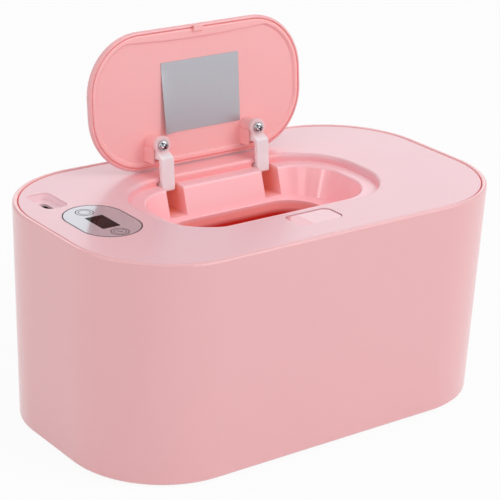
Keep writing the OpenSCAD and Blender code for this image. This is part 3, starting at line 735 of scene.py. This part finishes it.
low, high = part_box("touch_springs")
touch_r, touch_wire = 3.0 * MM, 0.3 * MM
coils = [coil("c", (x, y, low.z), (0, 0, 1), touch_r, high.z - low.z, touch_wire, 7.0)
         for x, y in (rear_key, front_key)]
touch_coils = merged("touch_coils", coils)
touch_coils.data.shade_smooth()
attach(touch_coils, "cover")
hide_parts("touch_springs")

low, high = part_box("button_springs")
button_mid = (low + high) / 2
button_r, button_wire = 1.3 * MM, 0.3 * MM
coils = [coil("c", (x, button_mid.y, low.z), (0, 0, 1), button_r, high.z - low.z, button_wire, 6.0)
         for x in (low.x + 1.6 * MM, high.x - 1.6 * MM)]
button_coils = merged("button_coils", coils)
button_coils.data.shade_smooth()
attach(button_coils, "cover")
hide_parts("button_springs")
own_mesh(button_coils)

low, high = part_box("latch_spring")
mid = (low + high) / 2
latch_r, latch_wire = 1.5 * MM, 0.4 * MM
latch_coil = coil("latch_coil", (mid.x, high.y, mid.z), (0, -1, 0), latch_r, high.y - low.y,
                  latch_wire, 4.5)
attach(latch_coil, "cover")
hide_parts("latch_spring")

# The hinge steel's pink-brown colour is a painted reflection of the salmon walls round the pins and
# springs.
hinge_steel = metal("hinge steel", rgb(172, 132, 122), 0.38)
hinge_y = 0.0400
wire, wind_r, leg_l = 0.4 * MM, 2.6 * MM, 7 * MM
for side in ("left", "right"):
    low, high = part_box("lid_spring_" + side)
    axis_z = high.z - 3.0 * MM
    leg_x, leg_y = (low.x + high.x) / 2, hinge_y + wind_r
    tail_l = high.y - leg_y
    pieces = [coil("c", (low.x, hinge_y, axis_z), (1, 0, 0), wind_r, high.x - low.x, wire, 3.5)]
    upright = Matrix.Translation((leg_x, leg_y, axis_z - leg_l / 2))
    level = (Matrix.Translation((leg_x, leg_y + tail_l / 2, axis_z - leg_l))
             @ Matrix.Rotation(math.pi / 2, 4, "X"))
    leg = bmesh.new()
    for length, place in ((leg_l, upright), (tail_l, level)):
        bmesh.ops.create_cone(leg, cap_ends=True, segments=12, radius1=wire, radius2=wire,
                              depth=length, matrix=place)
    me = bpy.data.meshes.new("leg")
    leg.to_mesh(me)
    leg.free()
    leg_ob = bpy.data.objects.new("leg", me)
    bpy.context.scene.collection.objects.link(leg_ob)
    pieces.append(leg_ob)
    spring = join("torsion_spring_" + side, pieces, hinge_steel)
    spring.data.shade_smooth()
    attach(spring, "cover")
    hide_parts("lid_spring_" + side)

# ---- Screws and pins ----
# Pan-head screws with a cross recess: chrome on the lid's arms, plated steel elsewhere.

dress(steel, "base_screws", "board_screws", "pan_screws")
# The pivot pins use the same painted pink-brown reflection.
dress(hinge_steel, "pivot_pins")
# The clips' brown-salmon colour is a painted reflection and shade from the walls round them.
dark_spring = metal("spring steel with painted reflection", rgb(150, 106, 98), 0.4)
dress(dark_spring, "pin_clips")
chrome = metal("chrome", rgb(184, 185, 189), 0.02)


def screw_mesh(name, head_r, head_h, shank_r, shank_l):
    """Domed pan head on +Z with a tapered cross recess and a shank below z = 0."""
    prof = [(0, -shank_l), (shank_r * 0.6, -shank_l), (shank_r, -shank_l + shank_r * 0.5),
            (shank_r, 0), (head_r * 0.96, 0), (head_r, head_h * 0.12)]
    steps = 8
    for k in range(1, steps + 1):
        a = math.pi / 2 * k / steps
        prof.append((head_r * math.cos(a) ** 0.8 if k < steps else 0, head_h * (0.2 + 0.8 * math.sin(a))))
    n = 40
    verts, faces, rows = [], [], []
    for r, z in prof:
        if r == 0:
            rows.append([len(verts)])
            verts.append((0, 0, z))
        else:
            rows.append(list(range(len(verts), len(verts) + n)))
            verts += [(r * math.cos(math.tau * k / n), r * math.sin(math.tau * k / n), z)
                      for k in range(n)]
    for lo_row, hi_row in zip(rows, rows[1:]):
        for k in range(n):
            m = (k + 1) % n
            if len(lo_row) == 1:
                faces.append((lo_row[0], hi_row[m], hi_row[k]))
            elif len(hi_row) == 1:
                faces.append((lo_row[k], lo_row[m], hi_row[0]))
            else:
                faces.append((lo_row[k], lo_row[m], hi_row[m], hi_row[k]))
    ob = mesh_object(name, verts, faces)
    arm, blade = head_r * 0.66, head_r * 0.17
    cutters = []
    for turned in (False, True):
        cut_v = []
        for z, k in ((head_h * 0.25, 0.45), (head_h * 1.4, 1.25)):
            for u, v in ((-arm * k, -blade), (arm * k, -blade), (arm * k, blade), (-arm * k, blade)):
                cut_v.append((-v, u, z) if turned else (u, v, z))
        cutters.append(mesh_object("cut", cut_v, box_faces))
    for c in cutters:
        m = ob.modifiers.new("cut", "BOOLEAN")
        m.operation = "DIFFERENCE"
        m.object = c
        m.solver = "EXACT"
    bpy.context.view_layer.update()
    me = bpy.data.meshes.new_from_object(ob.evaluated_get(bpy.context.evaluated_depsgraph_get()))
    ob.modifiers.clear()
    ob.data = me
    for c in cutters:
        bpy.data.objects.remove(c)
    return ob


screw_tree = new_tree("screws on points", [("Screw", "NodeSocketObject"),
                                           ("Finish", "NodeSocketMaterial")])
g = screw_tree.nodes
gin, gout = g.new("NodeGroupInput"), g.new("NodeGroupOutput")
info = g.new("GeometryNodeObjectInfo")
info.inputs["As Instance"].default_value = True
put = g.new("GeometryNodeInstanceOnPoints")
spin = g.new("FunctionNodeRandomValue")
spin.data_type = "FLOAT_VECTOR"
spin.inputs["Min"].default_value = (0, 0, 0)
spin.inputs["Max"].default_value = (0, 0, 1.5)
spin.inputs["Seed"].default_value = 7
real = g.new("GeometryNodeRealizeInstances")
paint = g.new("GeometryNodeSetMaterial")
for a, b in (
    (gin.outputs["Geometry"], put.inputs["Points"]),
    (gin.outputs["Screw"], info.inputs["Object"]),
    (info.outputs["Geometry"], put.inputs["Instance"]),
    (spin.outputs["Value"], put.inputs["Rotation"]),
    (put.outputs["Instances"], real.inputs["Geometry"]),
    (real.outputs["Geometry"], paint.inputs["Geometry"]),
    (gin.outputs["Finish"], paint.inputs["Material"]),
    (paint.outputs["Geometry"], gout.inputs["Geometry"]),
):
    screw_tree.links.new(a, b)


def screws(name, node, body, points, head_r, head_h, shank_r, shank_l, finish, turn):
    """A group of like screws; points are in the turned frame's own plane."""
    one = screw_mesh(name + "_one", head_r, head_h, shank_r, shank_l)
    seed = mesh_object(name + "_points", points, [])
    ob = bake(name, screw_tree, {"Screw": one, "Finish": finish}, base=seed, move=turn)
    bpy.data.objects.remove(one)
    ob.data.shade_smooth()
    ob.data.set_sharp_from_angle(angle=math.radians(35))
    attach(ob, body)
    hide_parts(node)
    return ob


flip = Matrix.Rotation(math.pi, 4, "X")


def under(points, z):
    """Points for screws that are driven from below, in the flipped frame."""
    return [(x, -y, -z) for x, y in points]


low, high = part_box("base_screws")
base_head_r, base_head_h = 2.7 * MM, 1.1 * MM
shank_r, base_shank_l = 1.45 * MM, 3.9 * MM
pts = [(sx * (high.x - base_head_r), sy * (high.y - base_head_r)) for sx in (-1, 1) for sy in (-1, 1)]
screws("base_pan_screws", "base_screws", "tub", under(pts, low.z + base_head_h),
       base_head_r, base_head_h, shank_r, base_shank_l, steel, flip)

# ---- Hinge arms ----
# Two arms moulded in milky nylon, whose thin eyes are painted pink for the lid's light seen
# through them. Each turns on a steel pin in the cover and is screwed to the liner's boss.

arm_mat = bpy.data.materials.new("milky nylon")
t = Tree(arm_mat)
co = t.sig(t.add("ShaderNodeTexCoord"), "Object")
cloud = t.sig(t.add("ShaderNodeTexNoise", Vector=co, Scale=120.0, Detail=3.0))
milky = t.blend(cloud, rgb(241, 230, 235), rgb(250, 243, 247))
low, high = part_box("arm_screws")
eye_z = (low.z + high.z) / 2
# The eyes are painted pink in place of the lid's light through the thin nylon.
eye_pink_paint = ramp(spread(t, co)[2], eye_z - 5.0 * MM, eye_z - 3.0 * MM)
milky = t.blend(eye_pink_paint * 0.7, milky, rgb(246, 194, 196))
bsdf = t.add("ShaderNodeBsdfPrincipled", Base_Color=milky, Roughness=0.36 + cloud * 0.08,
             Subsurface_Weight=0.5, Subsurface_Radius=(0.004, 0.003, 0.003), Subsurface_Scale=1.0)
t.add("ShaderNodeOutputMaterial", Surface=t.sig(bsdf))
dress(arm_mat, "hinge_arm_left", "hinge_arm_right")

# ---- Lid ----
# Pink outer lid with a rounded edge, and a satin inner liner set into it. A blank silver
# plate is stuck to the liner between the arms, and its lower left corner has lifted.

rim_plane = cover_top - 0.0026
hinge_z = cover_top - 0.0059
lid_mid = 0.0332
open_turn = math.radians(-96.4)
lid_frame = (
    Matrix.Translation((0, hinge_y, hinge_z))
    @ Matrix.Rotation(open_turn, 4, "X")
    @ Matrix.Translation((0, lid_mid - hinge_y, rim_plane - hinge_z))
    @ Matrix.Diagonal((1, -1, -1, 1))
)


def on_lid(u, v, d):
    """Point in the open lid, in millimetres.

    u runs along the hinge, v up from the lid's rear edge and d out of its rim plane.
    """
    return lid_frame @ Vector((u * MM, v * MM, d * MM))


def lid_groove(t, co):
    """Walls of the groove between lid and liner, painted salmon with a glow in place of its shade,
    measured in the open lid's own directions.
    """
    zero = on_lid(0, 0, 0)
    places = []
    for way in ((1, 0, 0), (0, 1, 0), (0, 0, 1)):
        axis = lid_frame.to_3x3() @ Vector(way)
        dot = t.add("ShaderNodeVectorMath", {"operation": "DOT_PRODUCT"}, i0=co, i1=tuple(axis))
        places.append(t.sig(dot, 1) - zero.dot(axis))
    u, v, d = places
    reach = from_spine(u, v - lid_mid, *lid_spine)
    inner_edge = ramp(reach, 28.1 * MM, 27.8 * MM)
    return inner_edge * ramp(d, -0.1 * MM, -0.5 * MM) * ramp(d, -3.3 * MM, -3.1 * MM)


# The groove between lid and liner is painted salmon with a painted glow in place of its shade.
lid_pink = moulded("lid pink", rgb(244, 179, 182), rough=0.32, subsurface=0.2, coat=0.3,
                   tints=((lid_groove, rgb(252, 176, 172)),), glow=lambda t, co: lid_groove(t, co) * 0.16)
# The liner carries a faint painted glow to brighten its shaded face.
liner_pink = moulded("liner pink", rgb(254, 185, 186), rough=0.4, subsurface=0.2, glow=0.03)
dress(lid_pink, "lid_cover")
dress(liner_pink, "lid_liner")

arm_head_r, arm_head_h, arm_shank_l = 2.65 * MM, 2.0 * MM, 6.0 * MM
screws("arm_pan_screws", "arm_screws", "lid",
       [(x, 13.4 * MM, 9.0 * MM) for x in (-arm_x, arm_x)],
       arm_head_r, arm_head_h, shank_r, arm_shank_l, chrome, lid_frame)

plate_mat = metal("brushed plate", rgb(180, 182, 188), 0.38, streak=(1.0, 0.05, 0.05))
u0, u1, v0, v1 = -20.7, 24.0, 16.0, 50.0
plate_t, face_d = 0.22, -0.78
lift_h, lift_u, lift_v = 2.4, 9, 30
nu, nv = 24, 18
verts, faces = [], []
for layer in (0, 1):
    for j in range(nv + 1):
        for i in range(nu + 1):
            u = u0 + (u1 - u0) * i / nu
            v = v0 + (v1 - v0) * j / nv
            lift = lift_h * max(0, 1 - (u - u0) / lift_u) ** 2 * max(0, 1 - (v - v0) / lift_v)
            verts.append(on_lid(u, v, face_d + lift + layer * plate_t))
layer_size = (nu + 1) * (nv + 1)


def cell(layer, i, j):
    """Index of a point of the plate's grid."""
    return layer * layer_size + j * (nu + 1) + i


for j in range(nv):
    for i in range(nu):
        faces.append((cell(0, i, j), cell(0, i, j + 1), cell(0, i + 1, j + 1), cell(0, i + 1, j)))
        faces.append((cell(1, i, j), cell(1, i + 1, j), cell(1, i + 1, j + 1), cell(1, i, j + 1)))
for i in range(nu):
    faces.append((cell(0, i, 0), cell(0, i + 1, 0), cell(1, i + 1, 0), cell(1, i, 0)))
    faces.append((cell(0, i + 1, nv), cell(0, i, nv), cell(1, i, nv), cell(1, i + 1, nv)))
for j in range(nv):
    faces.append((cell(0, 0, j + 1), cell(0, 0, j), cell(1, 0, j), cell(1, 0, j + 1)))
    faces.append((cell(0, nu, j), cell(0, nu, j + 1), cell(1, nu, j + 1), cell(1, nu, j)))
lid_plate = mesh_object("lid_plate", verts, faces)
bm = bmesh.new()
bm.from_mesh(lid_plate.data)
bmesh.ops.recalc_face_normals(bm, faces=bm.faces)
bm.to_mesh(lid_plate.data)
bm.free()
lid_plate.data.materials.append(plate_mat)
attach(lid_plate, "lid")

# ---- Latch button and slider ----
# The button is moulded in the cover's pink and polished brighter, so it mirrors the lid's
# edge, and its left third is painted pinker as a painted reflection of the lid; the slider
# under it is white acetal.

low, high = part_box("latch_button")
reflection_share = 0.34


def lid_reflection_paint(t, co):
    """Left third, painted pinker as the lid's reflection."""
    x, _, _ = spread(t, co)
    edge = low.x + (high.x - low.x) * reflection_share
    return ramp(x, edge + 0.4 * MM, edge - 0.4 * MM) * 0.8


# The left third is painted pinker, a painted reflection of the lid.
button_pink = moulded("button pink", rgb(236, 182, 190), rough=0.05, gloss=0.9, grain=0.1,
                      tints=((lid_reflection_paint, rgb(232, 150, 158)),))
dress(button_pink, "latch_button")
dress(tank_white, "latch_slider")
